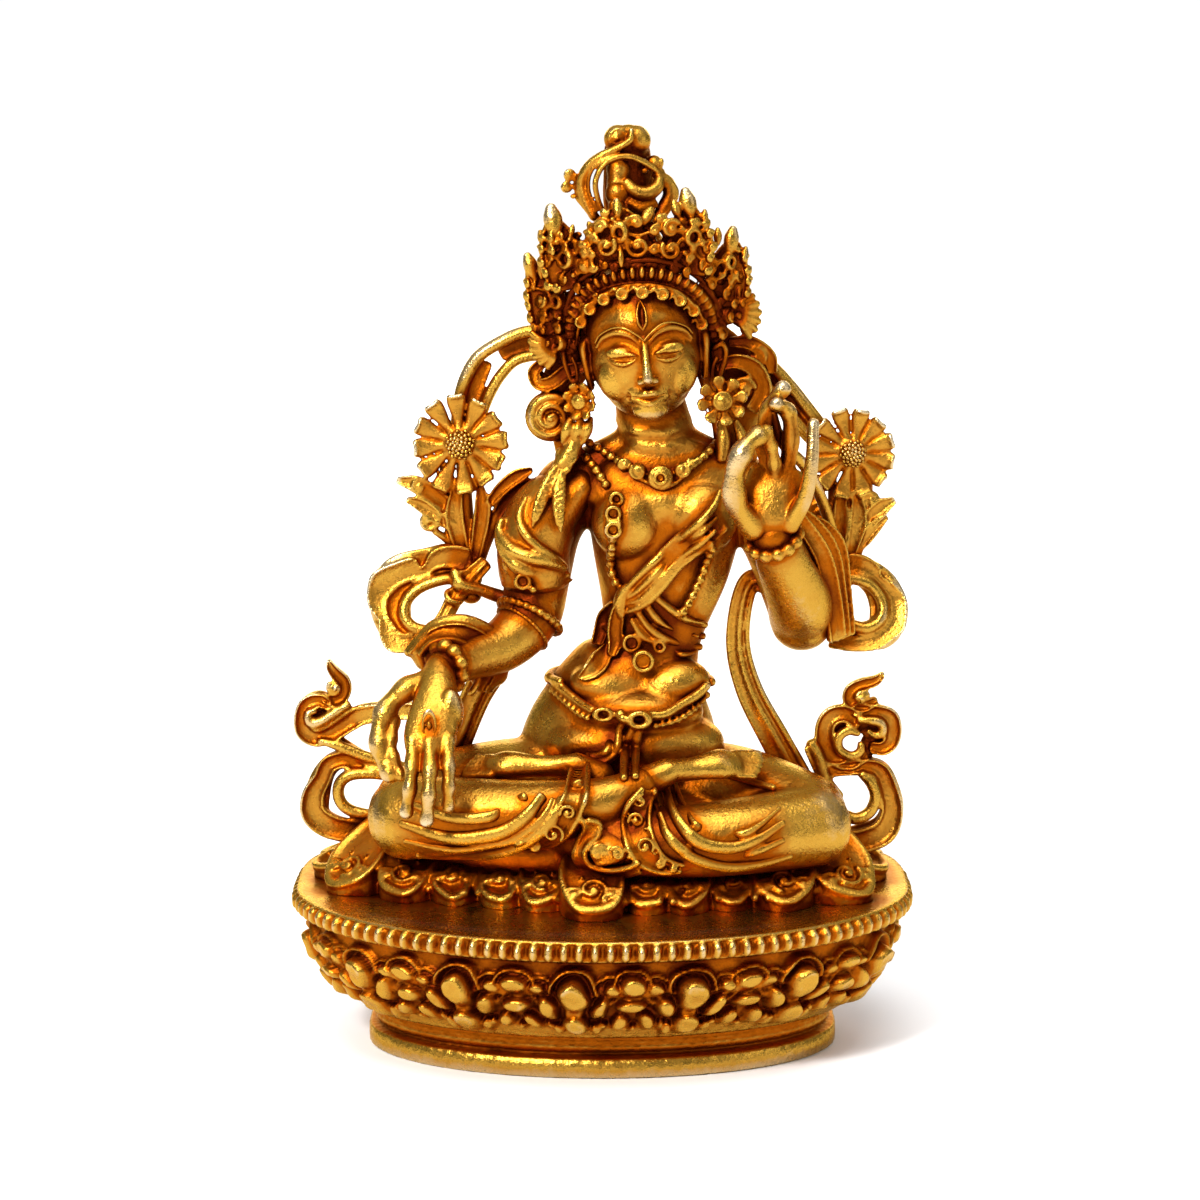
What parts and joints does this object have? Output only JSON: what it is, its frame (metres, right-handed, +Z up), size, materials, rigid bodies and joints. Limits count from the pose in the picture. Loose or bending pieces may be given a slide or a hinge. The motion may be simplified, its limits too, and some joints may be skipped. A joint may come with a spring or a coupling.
{
  "type": "tara figure",
  "caption": "Seated crowned Tara in full lotus on an oval lotus plinth, right hand lowered in giving, left hand raised with a flower stem, scarves curling at both sides.",
  "frame": {"origin": "middle of the plinth's flat underside", "axes": "+Z up, -Y the way the figure faces, +X to the figure's left"},
  "size_m": [0.078, 0.057, 0.115],
  "materials": {
    "antique_gold": "aged gilding over cast brass: satin gold on the high places, dark brown patina in the recesses"
  },
  "bodies": {
    "root": {"lotus_plinth": "antique_gold", "tara_figure": "antique_gold"}
  },
  "joints": []
}
